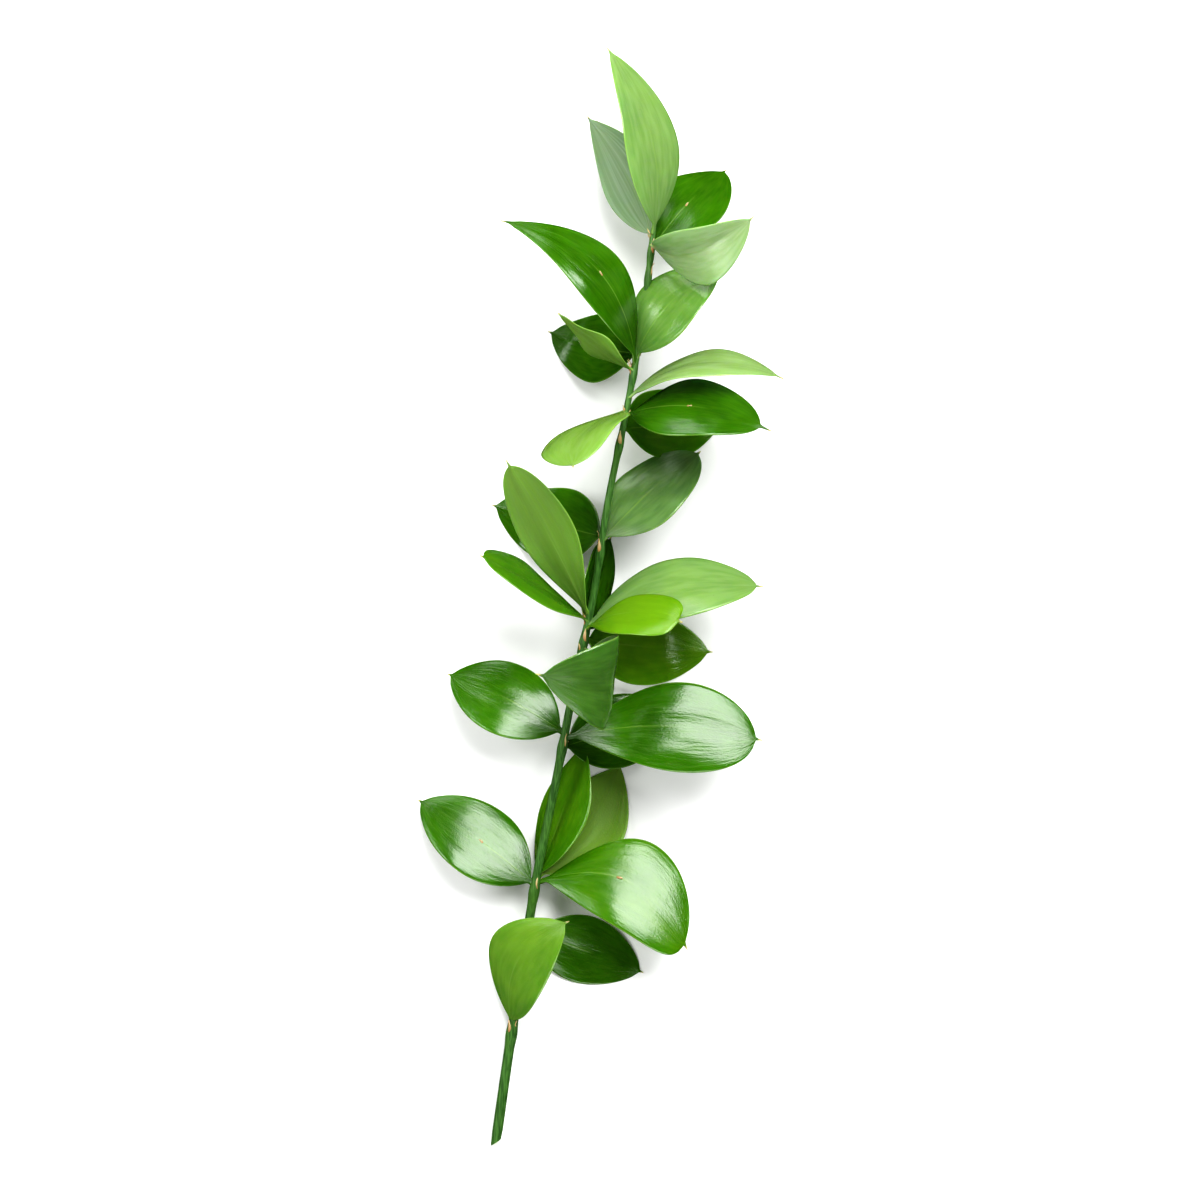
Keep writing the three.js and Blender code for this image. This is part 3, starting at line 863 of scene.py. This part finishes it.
def blade_sizes(rows, columns, upper, under):
    return {
        "Rows": rows, "Columns": columns, "Root Half Width": ROOT_HALF_WIDTH,
        "Thorn Half Width": THORN_HALF_WIDTH, "Cusp Flare": CUSP_FLARE, "Fullness": FULLNESS,
        "Margin Thickness": MARGIN_THICKNESS, "Rib Thickness": RIB_THICKNESS,
        "Root Thickness": ROOT_THICKNESS, "Press Bend": PRESS_BEND,
        "Upper Material": upper, "Under Material": under,
    }


grown_blades = blades_tree(blade_surface_tree())
upper_skin = upper_material()
under_skin = under_material()
DROPPED_KEYS = [key for key in SHAPE_KEYS if key != "phase"] + ["root", "chord", "along", "across", "sheet"]
all_blades = []
for whorl, entries in WHORLS.items():
    blades = []
    for entry in entries:
        root = axis_at(entry["at"] * MM)
        chord = Vector(entry["tip"]) * MM - root
        phase = (len(all_blades) * PHASE_STEP) % 1
        blades.append({**USUAL_BLADE, **entry, "root": root, "chord": chord, "phase": phase})
        all_blades.append(blades[-1])
    sizes = blade_sizes(BLADE_ROWS, BLADE_COLUMNS, upper_skin, under_skin)
    piece = grow(points_piece(whorl, blades), grown_blades, sizes, DROPPED_KEYS)
    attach(piece, "root")
    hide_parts("leafy_stem")

# ---- The bracts ----
# Small dry scales like brown paper, 3 to 7 mm long. A long one stands under each whorl and a short
# one by the root of each blade, grown on the axis, and one on the midrib of each blade that bore a
# flower. Their tips lift off.

BRACT_FOOT = 0.6
WHORL_BRACT = dict(length=7.0, width=1.7, lean=0.28, arch=0.7)
ROOT_BRACT = dict(length=4.0, width=1.1, lean=0.5, arch=0.35)
ROOT_BRACT_DROP = 1.5 * MM
MIDRIB_SCALE = dict(length=3.0, width=1.1, lean=0.26, arch=0.25)
MIDRIB_SCALE_PLACE = 0.44
MIDRIB_SCALE_DEPTH = 0.15 * MM
MIDRIB_STEP = 0.02
WHORL_BRACT_TURNS = (60, 20, 150, 80, 100, 70, 50, 60, 110)
BRACT_ROWS = 14
BRACT_COLUMNS = 8
BRACT_MARGIN_THICKNESS = 0.08 * MM
BRACT_RIB_THICKNESS = 0.14 * MM
BRACT_ROOT_THICKNESS = 0.3 * MM
BRACT_HABIT = dict(
    sweep=0, twist=0, fold=0, curl=36, widest=0.3, wave=0.25, taper=1, cusp=0.04, quilting=0.12,
    crease=0.05, wax_and_sheen=0,
)
GREENNESS_STEP = 1.7
MIDRIB_SCALE_GREENNESS = 0.2
PAPER_ORANGE = rgb(0.36, 0.17, 0.065)
PAPER_STRAW = rgb(0.60, 0.48, 0.28)
PAPER_GREEN = rgb(0.40, 0.38, 0.16)
STRAW_EDGE = (0.1, 0.8)
GREEN_SHARE = 0.4
FIBRES = {"Veins": (0.5, rgb(0.22, 0.10, 0.04))}
PAPER_ROUGHNESS = 0.62
PAPER_BAND_ROUGHNESS = 0.2


def paper_material():
    """Dry fibrous scale: orange-brown at its foot, bleached to straw at its tip. The youngest are
    still a little green."""
    material, tree, shader = new_material(
        "bract_paper", Specular_IOR_Level=0.25, Subsurface_Weight=0.2, Subsurface_Scale=0.0008,
    )
    marks = blade_marks(tree, vein_count=8.0, vein_length=1.5)
    bleached = smooth_step(part_of(blade_map(tree), "Y"), *STRAW_EDGE)
    skin = mixed_colour(bleached, PAPER_ORANGE, PAPER_STRAW)
    skin = mixed_colour(blade_attribute(tree, "youth_and_light") * GREEN_SHARE, skin, PAPER_GREEN)
    put(tree, stained(skin, marks, FIBRES), shader, "Base Color")
    put(tree, PAPER_ROUGHNESS + PAPER_BAND_ROUGHNESS * marks["Bands"], shader, "Roughness")
    put(tree, bump(marks["Height"], strength=0.8, distance=0.08 * MM), shader, "Normal")
    return material


def bract_at(y, turn, kind, order):
    """A bract that stands on the axis with its back to it, `turn` radians round it from +X."""
    out = Vector((math.cos(turn), 0, math.sin(turn)))
    chord = (out * kind["lean"] + Vector((0, 1, 0))) * kind["length"] * MM
    return {
        **BRACT_HABIT, "width": kind["width"], "arch": kind["arch"], "roll": math.degrees(turn) - 90,
        "root": axis_at(y) + out * BRACT_FOOT * axis_radius(y), "chord": chord,
        "phase": order * PHASE_STEP % 1, "youth_and_light": order * PHASE_STEP * GREENNESS_STEP % 1,
    }


def flat_directions(chord):
    """The level direction across a chord, and the direction up from the two."""
    flat_side = Vector((-chord.y, chord.x, 0)).normalized()
    return flat_side, chord.cross(flat_side).normalized()


def rib_at(blade, t):
    """The point of a blade's midrib at t, and the direction across the blade there."""
    flat_side, flat_up = flat_directions(blade["chord"])
    roll = math.radians(blade["roll"])
    side = flat_side * math.cos(roll) + flat_up * math.sin(roll)
    up = flat_up * math.cos(roll) - flat_side * math.sin(roll)
    bow = 4 * t * (1 - t) * MM
    straight = blade["root"] + blade["chord"] * t
    return straight + up * blade["arch"] * bow + side * blade["sweep"] * bow, side


def midrib_scale(blade, order):
    """The dry scale of a flower, on the midrib and facing as the blade does."""
    rib, side = rib_at(blade, MIDRIB_SCALE_PLACE)
    ahead = (rib_at(blade, MIDRIB_SCALE_PLACE + MIDRIB_STEP)[0] - rib).normalized()
    up = ahead.cross(side).normalized()
    height = blade["width"] * MM / 2 * MIDRIB_ROUNDING * math.sin(math.radians(blade["fold"]))
    chord = (up * MIDRIB_SCALE["lean"] + ahead) * MIDRIB_SCALE["length"] * MM
    flat_side, flat_up = flat_directions(chord)
    return {
        **BRACT_HABIT, "width": MIDRIB_SCALE["width"], "arch": MIDRIB_SCALE["arch"],
        "roll": math.degrees(math.atan2(side.dot(flat_up), side.dot(flat_side))),
        "root": rib + up * (height - MIDRIB_SCALE_DEPTH), "chord": chord,
        "phase": order * PHASE_STEP % 1, "youth_and_light": MIDRIB_SCALE_GREENNESS,
    }


bracts = []
for height, degrees in zip(WHORL_HEIGHTS, WHORL_BRACT_TURNS):
    bracts.append(bract_at(height, math.radians(degrees), WHORL_BRACT, len(bracts)))
for blade in all_blades:
    turn = math.atan2(blade["chord"].z, blade["chord"].x)
    bracts.append(bract_at(blade["at"] * MM - ROOT_BRACT_DROP, turn, ROOT_BRACT, len(bracts)))
for blade in all_blades:
    if blade["scale"]:
        bracts.append(midrib_scale(blade, len(bracts)))
paper = paper_material()
bract_sizes = {
    **blade_sizes(BRACT_ROWS, BRACT_COLUMNS, paper, paper),
    "Margin Thickness": BRACT_MARGIN_THICKNESS, "Rib Thickness": BRACT_RIB_THICKNESS,
    "Root Thickness": BRACT_ROOT_THICKNESS,
}
bract_piece = grow(points_piece("bracts", bracts), grown_blades, bract_sizes, DROPPED_KEYS)
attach(bract_piece, "root")
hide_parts("leafy_stem")

# ---- The floor, the light and the camera ----
# A pale table under soft studio light, seen from straight above with the tip of the stem upwards.
# Four softboxes stand round the stem, given by place, side and power in metres and watts.

FLOOR_SIDE = 8.0
FLOOR_GREYS = (rgb(0.90, 0.90, 0.90), rgb(0.93, 0.93, 0.93))
FLOOR_GRAIN_SCALE = 3.0
SOFTBOXES = {
    "key_softbox": ((0.45, 0.93, 1.44), 1.2, 40),
    "left_softbox": ((-1.30, 0.42, 1.14), 0.8, 12),
    "far_softbox": ((-0.45, 1.70, 0.40), 0.9, 8),
    "near_softbox": ((0.05, -1.54, 0.89), 1.0, 10),
}
SKY_COLOUR = rgb(1.0, 1.0, 1.0)
SKY_STRENGTH = 0.3
CAMERA_HEIGHT = 2.5
FRAME_WIDTH = 0.545
SENSOR_WIDTH = 36.0
STEM_MID_HEIGHT = 40 * MM


def floor():
    half = FLOOR_SIDE / 2
    corners = [(-half, -half, 0), (half, -half, 0), (half, half, 0), (-half, half, 0)]
    mesh = bpy.data.meshes.new("floor")
    mesh.from_pydata(corners, [], [(0, 1, 2, 3)])
    material, tree, shader = new_material("floor_paint", Roughness=0.8, Specular_IOR_Level=0.2)
    place = Field(tree, tree.nodes.new("ShaderNodeTexCoord").outputs["Object"])
    grain = noise(tree, place, FLOOR_GRAIN_SCALE, detail=2.0)
    put(tree, mixed_colour(grain, *FLOOR_GREYS), shader, "Base Color")
    mesh.materials.append(material)
    piece = bpy.data.objects.new("floor", mesh)
    piece.visible_glossy = False
    bpy.context.scene.collection.objects.link(piece)


def softbox(name, place, side, power):
    lamp = bpy.data.lights.new(name, "AREA")
    lamp.size = side
    lamp.energy = power
    light = bpy.data.objects.new(name, lamp)
    light.location = place
    light.rotation_mode = "QUATERNION"
    light.rotation_quaternion = Vector(place).to_track_quat("Z", "Y")
    bpy.context.scene.collection.objects.link(light)


def sky():
    world = bpy.data.worlds.new("studio")
    bpy.context.scene.world = world
    world.use_nodes = True
    background = world.node_tree.nodes["Background"]
    background.inputs["Color"].default_value = SKY_COLOUR
    background.inputs["Strength"].default_value = SKY_STRENGTH
    world.cycles_visibility.glossy = False


def camera():
    lens = bpy.data.cameras.new("camera")
    lens.sensor_width = SENSOR_WIDTH
    lens.lens = SENSOR_WIDTH * (CAMERA_HEIGHT - STEM_MID_HEIGHT) / FRAME_WIDTH
    view = bpy.data.objects.new("camera", lens)
    view.location = (0, 0, CAMERA_HEIGHT)
    bpy.context.scene.collection.objects.link(view)
    bpy.context.scene.camera = view


floor()
for name, (place, side, power) in SOFTBOXES.items():
    softbox(name, place, side, power)
sky()
camera()
bpy.context.scene.view_settings.view_transform = "Standard"
bpy.context.scene.view_settings.look = "High Contrast"
